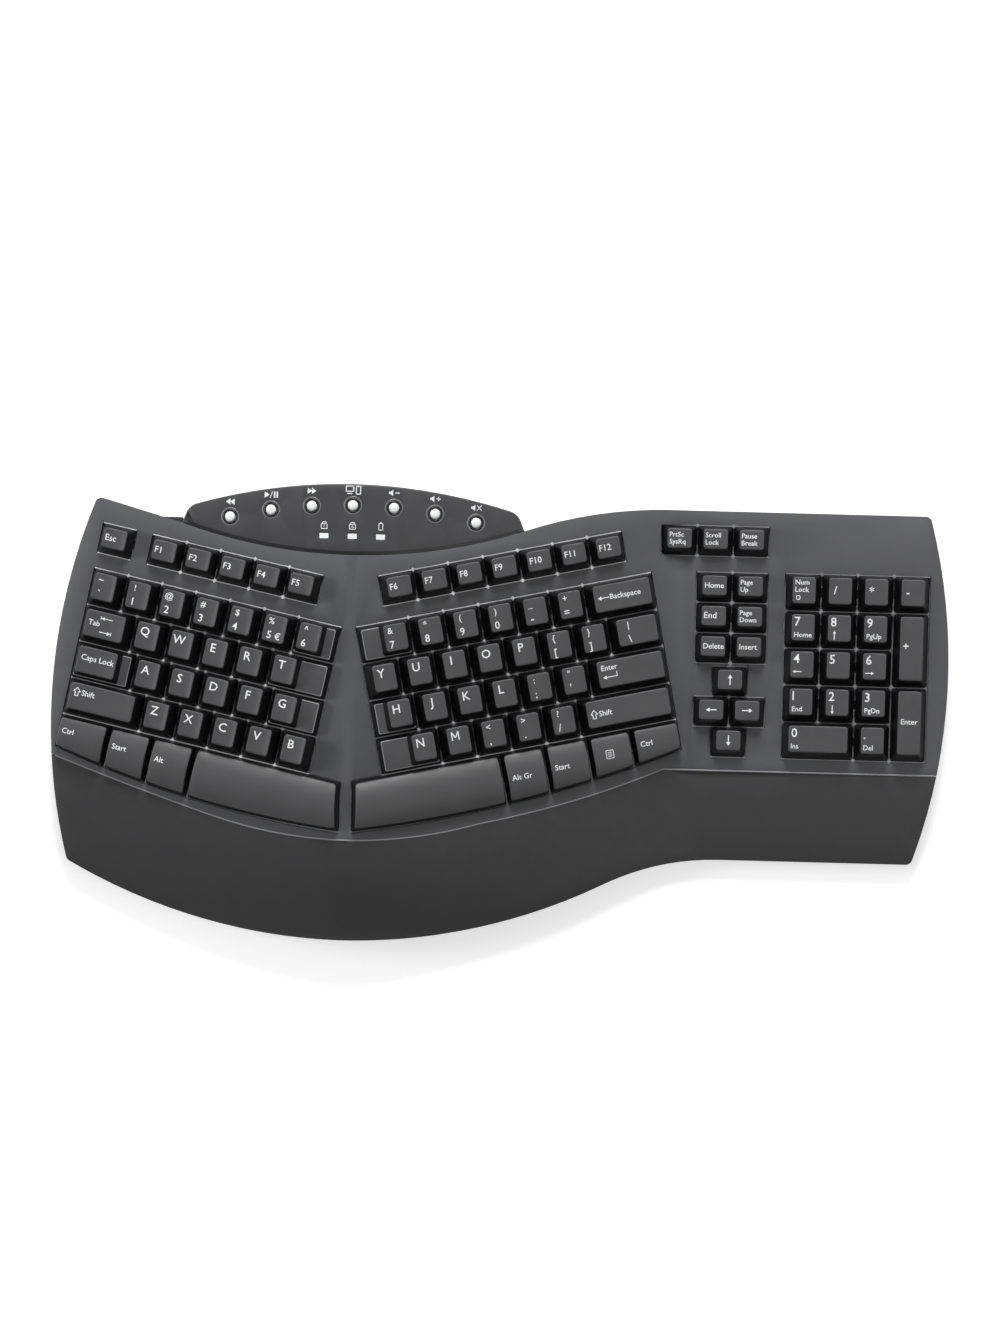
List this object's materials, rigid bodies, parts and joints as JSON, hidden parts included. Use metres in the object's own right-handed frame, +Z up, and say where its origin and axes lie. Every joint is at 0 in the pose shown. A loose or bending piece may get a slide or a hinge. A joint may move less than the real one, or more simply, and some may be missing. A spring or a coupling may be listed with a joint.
{
  "type": "ergonomic keyboard",
  "caption": "Curved full-size desk keyboard with a raised crest between two turned key fields, a number pad, a media panel and a built-in palm rest.",
  "frame": {"origin": "on the desk, under the middle of the outline's bounding box", "axes": "+X to the user's right, +Y from the user to the rear, +Z up from the desk"},
  "size_m": [0.4632, 0.2348, 0.0533],
  "materials": {
    "deck_plastic": "fine matt texture, mid-dark grey",
    "palm_plastic": "fine matt texture, darker grey",
    "panel_plastic": "fine matt texture, dark grey",
    "base_plastic": "fine matt texture, black",
    "key_plastic": "satin black, glossier skirts, white legends on the looks",
    "button_plastic": "silver cap in a black collar",
    "lens_plastic": "milky clear",
    "frame_plastic": "light grey, smooth",
    "dome_rubber": "translucent silicone",
    "film": "clear film with printed traces",
    "steel": "plain sheet",
    "contact_steel": "nickel plated",
    "board": "green solder mask",
    "cell_wrap": "plain wrap, no print",
    "screw_steel": "dark zinc",
    "foot_rubber": "matt black"
  },
  "bodies": {
    "housing": {"base_case": "base_plastic", "top_case": "deck_plastic", "palm_rest": "palm_plastic", "media_panel": "panel_plastic", "indicator_lenses": "lens_plastic", "media_board": "board", "key_frame": "frame_plastic", "rubber_dome_sheet": "dome_rubber", "membrane_circuit": "film", "backing_plate": "steel", "controller_board": "board", "battery_cells": "cell_wrap", "battery_contacts": "contact_steel", "rubber_feet": "foot_rubber", "case_screws": "screw_steel"},
    "tilt_foot_left": {"tilt_foot_left": "base_plastic"},
    "tilt_foot_right": {"tilt_foot_right": "base_plastic"},
    "battery_door": {"battery_door": "base_plastic"},
    "power_switch": {"power_switch": "base_plastic"},
    "space_bar_left": {"space_bar_left": "key_plastic"},
    "stabiliser_wire_left": {"stabiliser_wire_left": "contact_steel"},
    "space_bar_right": {"space_bar_right": "key_plastic"},
    "stabiliser_wire_right": {"stabiliser_wire_right": "contact_steel"},
    "enter_key": {"enter_key": "key_plastic"},
    "shift_key_left": {"shift_key_left": "key_plastic"},
    "shift_key_right": {"shift_key_right": "key_plastic"},
    "backspace_key": {"backspace_key": "key_plastic"},
    "caps_lock_key": {"caps_lock_key": "key_plastic"},
    "tab_key": {"tab_key": "key_plastic"},
    "backslash_key": {"backslash_key": "key_plastic"},
    "escape_key": {"escape_key": "key_plastic"},
    "pad_zero_key": {"pad_zero_key": "key_plastic"},
    "pad_enter_key": {"pad_enter_key": "key_plastic"},
    "pad_plus_key": {"pad_plus_key": "key_plastic"},
    "number_keys_left": {"number_keys_left": "key_plastic"},
    "top_row_left": {"top_row_left": "key_plastic"},
    "home_row_left": {"home_row_left": "key_plastic"},
    "lower_row_left": {"lower_row_left": "key_plastic"},
    "number_keys_right": {"number_keys_right": "key_plastic"},
    "top_row_right": {"top_row_right": "key_plastic"},
    "home_row_right": {"home_row_right": "key_plastic"},
    "lower_row_right": {"lower_row_right": "key_plastic"},
    "function_keys_left": {"function_keys_left": "key_plastic"},
    "function_keys_right": {"function_keys_right": "key_plastic"},
    "system_keys": {"system_keys": "key_plastic"},
    "navigation_keys": {"navigation_keys": "key_plastic"},
    "arrow_keys": {"arrow_keys": "key_plastic"},
    "pad_top_keys": {"pad_top_keys": "key_plastic"},
    "pad_keys_789": {"pad_keys_789": "key_plastic"},
    "pad_keys_456": {"pad_keys_456": "key_plastic"},
    "pad_keys_123": {"pad_keys_123": "key_plastic"},
    "modifier_keys_left": {"modifier_keys_left": "key_plastic"},
    "modifier_keys_right": {"modifier_keys_right": "key_plastic"},
    "previous_button": {"previous_button": "button_plastic"},
    "play_button": {"play_button": "button_plastic"},
    "next_button": {"next_button": "button_plastic"},
    "application_button": {"application_button": "button_plastic"},
    "volume_down_button": {"volume_down_button": "button_plastic"},
    "volume_up_button": {"volume_up_button": "button_plastic"},
    "mute_button": {"mute_button": "button_plastic"}
  },
  "joints": [
    {"name": "tilt_foot_left_hinge", "type": "hinge", "parent": "housing", "child": "tilt_foot_left", "pos_m": [-0.182, 0.096, 0.0027], "axis": [1, 0, 0], "range_deg": [0, 75]},
    {"name": "tilt_foot_right_hinge", "type": "hinge", "parent": "housing", "child": "tilt_foot_right", "pos_m": [0.182, 0.096, 0.0027], "axis": [1, 0, 0], "range_deg": [0, 75]},
    {"name": "battery_door_slide", "type": "slide", "parent": "housing", "child": "battery_door", "axis": [0, 1, 0], "range_m": [0, 0.01]},
    {"name": "power_switch_slide", "type": "slide", "parent": "housing", "child": "power_switch", "axis": [1, 0, 0], "range_m": [0, 0.003]},
    {"name": "space_bar_left_press", "type": "slide", "parent": "housing", "child": "space_bar_left", "axis": [0.1734, 0.0515, -0.9835], "range_m": [0, 0.0032], "stiffness_N_per_m": 170, "springref_m": -0.003, "deforming": ["rubber_dome_sheet"]},
    {"name": "stabiliser_wire_left_swing", "type": "hinge", "parent": "housing", "child": "stabiliser_wire_left", "pos_m": [-0.11971, -0.04678, 0.03368], "axis": [-0.9651, 0.2076, -0.1593], "range_deg": [0, 15.35]},
    {"name": "space_bar_right_press", "type": "slide", "parent": "housing", "child": "space_bar_right", "axis": [-0.1734, 0.0515, -0.9835], "range_m": [0, 0.0032], "stiffness_N_per_m": 170, "springref_m": -0.003, "deforming": ["rubber_dome_sheet"]},
    {"name": "stabiliser_wire_right_swing", "type": "hinge", "parent": "housing", "child": "stabiliser_wire_right", "pos_m": [-0.03496, -0.04618, 0.03366], "axis": [-0.9651, -0.2076, 0.1593], "range_deg": [0, 15.35]},
    {"name": "enter_key_press", "type": "slide", "parent": "housing", "child": "enter_key", "axis": [-0.1734, 0.0515, -0.9835], "range_m": [0, 0.0032], "stiffness_N_per_m": 170, "springref_m": -0.003, "deforming": ["rubber_dome_sheet"]},
    {"name": "shift_key_left_press", "type": "slide", "parent": "housing", "child": "shift_key_left", "axis": [0.1734, 0.0515, -0.9835], "range_m": [0, 0.0032], "stiffness_N_per_m": 170, "springref_m": -0.003, "deforming": ["rubber_dome_sheet"]},
    {"name": "shift_key_right_press", "type": "slide", "parent": "housing", "child": "shift_key_right", "axis": [-0.1734, 0.0515, -0.9835], "range_m": [0, 0.0032], "stiffness_N_per_m": 170, "springref_m": -0.003, "deforming": ["rubber_dome_sheet"]},
    {"name": "backspace_key_press", "type": "slide", "parent": "housing", "child": "backspace_key", "axis": [-0.1734, 0.0515, -0.9835], "range_m": [0, 0.0032], "stiffness_N_per_m": 170, "springref_m": -0.003, "deforming": ["rubber_dome_sheet"]},
    {"name": "caps_lock_key_press", "type": "slide", "parent": "housing", "child": "caps_lock_key", "axis": [0.1734, 0.0515, -0.9835], "range_m": [0, 0.0032], "stiffness_N_per_m": 170, "springref_m": -0.003, "deforming": ["rubber_dome_sheet"]},
    {"name": "tab_key_press", "type": "slide", "parent": "housing", "child": "tab_key", "axis": [0.1734, 0.0515, -0.9835], "range_m": [0, 0.0032], "stiffness_N_per_m": 170, "springref_m": -0.003, "deforming": ["rubber_dome_sheet"]},
    {"name": "backslash_key_press", "type": "slide", "parent": "housing", "child": "backslash_key", "axis": [-0.1734, 0.0515, -0.9835], "range_m": [0, 0.0032], "stiffness_N_per_m": 170, "springref_m": -0.003, "deforming": ["rubber_dome_sheet"]},
    {"name": "escape_key_press", "type": "slide", "parent": "housing", "child": "escape_key", "axis": [0.1734, 0.0515, -0.9835], "range_m": [0, 0.0032], "stiffness_N_per_m": 170, "springref_m": -0.003, "deforming": ["rubber_dome_sheet"]},
    {"name": "pad_zero_key_press", "type": "slide", "parent": "housing", "child": "pad_zero_key", "axis": [0, 0.0523, -0.9986], "range_m": [0, 0.0032], "stiffness_N_per_m": 170, "springref_m": -0.003, "deforming": ["rubber_dome_sheet"]},
    {"name": "pad_enter_key_press", "type": "slide", "parent": "housing", "child": "pad_enter_key", "axis": [0, 0.0523, -0.9986], "range_m": [0, 0.0032], "stiffness_N_per_m": 170, "springref_m": -0.003, "deforming": ["rubber_dome_sheet"]},
    {"name": "pad_plus_key_press", "type": "slide", "parent": "housing", "child": "pad_plus_key", "axis": [0, 0.0523, -0.9986], "range_m": [0, 0.0032], "stiffness_N_per_m": 170, "springref_m": -0.003, "deforming": ["rubber_dome_sheet"]},
    {"name": "number_keys_left_press", "type": "slide", "parent": "housing", "child": "number_keys_left", "axis": [0.1734, 0.0515, -0.9835], "range_m": [0, 0.0032], "stiffness_N_per_m": 170, "springref_m": -0.003, "deforming": ["rubber_dome_sheet"]},
    {"name": "top_row_left_press", "type": "slide", "parent": "housing", "child": "top_row_left", "axis": [0.1734, 0.0515, -0.9835], "range_m": [0, 0.0032], "stiffness_N_per_m": 170, "springref_m": -0.003, "deforming": ["rubber_dome_sheet"]},
    {"name": "home_row_left_press", "type": "slide", "parent": "housing", "child": "home_row_left", "axis": [0.1734, 0.0515, -0.9835], "range_m": [0, 0.0032], "stiffness_N_per_m": 170, "springref_m": -0.003, "deforming": ["rubber_dome_sheet"]},
    {"name": "lower_row_left_press", "type": "slide", "parent": "housing", "child": "lower_row_left", "axis": [0.1734, 0.0515, -0.9835], "range_m": [0, 0.0032], "stiffness_N_per_m": 170, "springref_m": -0.003, "deforming": ["rubber_dome_sheet"]},
    {"name": "number_keys_right_press", "type": "slide", "parent": "housing", "child": "number_keys_right", "axis": [-0.1734, 0.0515, -0.9835], "range_m": [0, 0.0032], "stiffness_N_per_m": 170, "springref_m": -0.003, "deforming": ["rubber_dome_sheet"]},
    {"name": "top_row_right_press", "type": "slide", "parent": "housing", "child": "top_row_right", "axis": [-0.1734, 0.0515, -0.9835], "range_m": [0, 0.0032], "stiffness_N_per_m": 170, "springref_m": -0.003, "deforming": ["rubber_dome_sheet"]},
    {"name": "home_row_right_press", "type": "slide", "parent": "housing", "child": "home_row_right", "axis": [-0.1734, 0.0515, -0.9835], "range_m": [0, 0.0032], "stiffness_N_per_m": 170, "springref_m": -0.003, "deforming": ["rubber_dome_sheet"]},
    {"name": "lower_row_right_press", "type": "slide", "parent": "housing", "child": "lower_row_right", "axis": [-0.1734, 0.0515, -0.9835], "range_m": [0, 0.0032], "stiffness_N_per_m": 170, "springref_m": -0.003, "deforming": ["rubber_dome_sheet"]},
    {"name": "function_keys_left_press", "type": "slide", "parent": "housing", "child": "function_keys_left", "axis": [0.1734, 0.0515, -0.9835], "range_m": [0, 0.0032], "stiffness_N_per_m": 170, "springref_m": -0.003, "deforming": ["rubber_dome_sheet"]},
    {"name": "function_keys_right_press", "type": "slide", "parent": "housing", "child": "function_keys_right", "axis": [-0.1734, 0.0515, -0.9835], "range_m": [0, 0.0032], "stiffness_N_per_m": 170, "springref_m": -0.003, "deforming": ["rubber_dome_sheet"]},
    {"name": "system_keys_press", "type": "slide", "parent": "housing", "child": "system_keys", "axis": [0, 0.0523, -0.9986], "range_m": [0, 0.0032], "stiffness_N_per_m": 170, "springref_m": -0.003, "deforming": ["rubber_dome_sheet"]},
    {"name": "navigation_keys_press", "type": "slide", "parent": "housing", "child": "navigation_keys", "axis": [0, 0.0523, -0.9986], "range_m": [0, 0.0032], "stiffness_N_per_m": 170, "springref_m": -0.003, "deforming": ["rubber_dome_sheet"]},
    {"name": "arrow_keys_press", "type": "slide", "parent": "housing", "child": "arrow_keys", "axis": [0, 0.0523, -0.9986], "range_m": [0, 0.0032], "stiffness_N_per_m": 170, "springref_m": -0.003, "deforming": ["rubber_dome_sheet"]},
    {"name": "pad_top_keys_press", "type": "slide", "parent": "housing", "child": "pad_top_keys", "axis": [0, 0.0523, -0.9986], "range_m": [0, 0.0032], "stiffness_N_per_m": 170, "springref_m": -0.003, "deforming": ["rubber_dome_sheet"]},
    {"name": "pad_keys_789_press", "type": "slide", "parent": "housing", "child": "pad_keys_789", "axis": [0, 0.0523, -0.9986], "range_m": [0, 0.0032], "stiffness_N_per_m": 170, "springref_m": -0.003, "deforming": ["rubber_dome_sheet"]},
    {"name": "pad_keys_456_press", "type": "slide", "parent": "housing", "child": "pad_keys_456", "axis": [0, 0.0523, -0.9986], "range_m": [0, 0.0032], "stiffness_N_per_m": 170, "springref_m": -0.003, "deforming": ["rubber_dome_sheet"]},
    {"name": "pad_keys_123_press", "type": "slide", "parent": "housing", "child": "pad_keys_123", "axis": [0, 0.0523, -0.9986], "range_m": [0, 0.0032], "stiffness_N_per_m": 170, "springref_m": -0.003, "deforming": ["rubber_dome_sheet"]},
    {"name": "modifier_keys_left_press", "type": "slide", "parent": "housing", "child": "modifier_keys_left", "axis": [0.1734, 0.0515, -0.9835], "range_m": [0, 0.0032], "stiffness_N_per_m": 170, "springref_m": -0.003, "deforming": ["rubber_dome_sheet"]},
    {"name": "modifier_keys_right_press", "type": "slide", "parent": "housing", "child": "modifier_keys_right", "axis": [-0.1734, 0.0515, -0.9835], "range_m": [0, 0.0032], "stiffness_N_per_m": 170, "springref_m": -0.003, "deforming": ["rubber_dome_sheet"]},
    {"name": "previous_button_press", "type": "slide", "parent": "housing", "child": "previous_button", "axis": [0.1734, 0.0515, -0.9835], "range_m": [0, 0.0008], "stiffness_N_per_m": 600, "springref_m": -0.001},
    {"name": "play_button_press", "type": "slide", "parent": "housing", "child": "play_button", "axis": [0.1734, 0.0515, -0.9835], "range_m": [0, 0.0008], "stiffness_N_per_m": 600, "springref_m": -0.001},
    {"name": "next_button_press", "type": "slide", "parent": "housing", "child": "next_button", "axis": [0.1401, 0.0518, -0.9888], "range_m": [0, 0.0008], "stiffness_N_per_m": 600, "springref_m": -0.001},
    {"name": "application_button_press", "type": "slide", "parent": "housing", "child": "application_button", "axis": [0, 0.0523, -0.9986], "range_m": [0, 0.0008], "stiffness_N_per_m": 600, "springref_m": -0.001},
    {"name": "volume_down_button_press", "type": "slide", "parent": "housing", "child": "volume_down_button", "axis": [-0.1401, 0.0518, -0.9888], "range_m": [0, 0.0008], "stiffness_N_per_m": 600, "springref_m": -0.001},
    {"name": "volume_up_button_press", "type": "slide", "parent": "housing", "child": "volume_up_button", "axis": [-0.1734, 0.0515, -0.9835], "range_m": [0, 0.0008], "stiffness_N_per_m": 600, "springref_m": -0.001},
    {"name": "mute_button_press", "type": "slide", "parent": "housing", "child": "mute_button", "axis": [-0.1734, 0.0515, -0.9835], "range_m": [0, 0.0008], "stiffness_N_per_m": 600, "springref_m": -0.001}
  ],
  "couplings": [
    {"joint": "stabiliser_wire_left_swing", "follows": "space_bar_left_press", "rad_per_m": 83.582},
    {"joint": "stabiliser_wire_right_swing", "follows": "space_bar_right_press", "rad_per_m": 83.582}
  ]
}
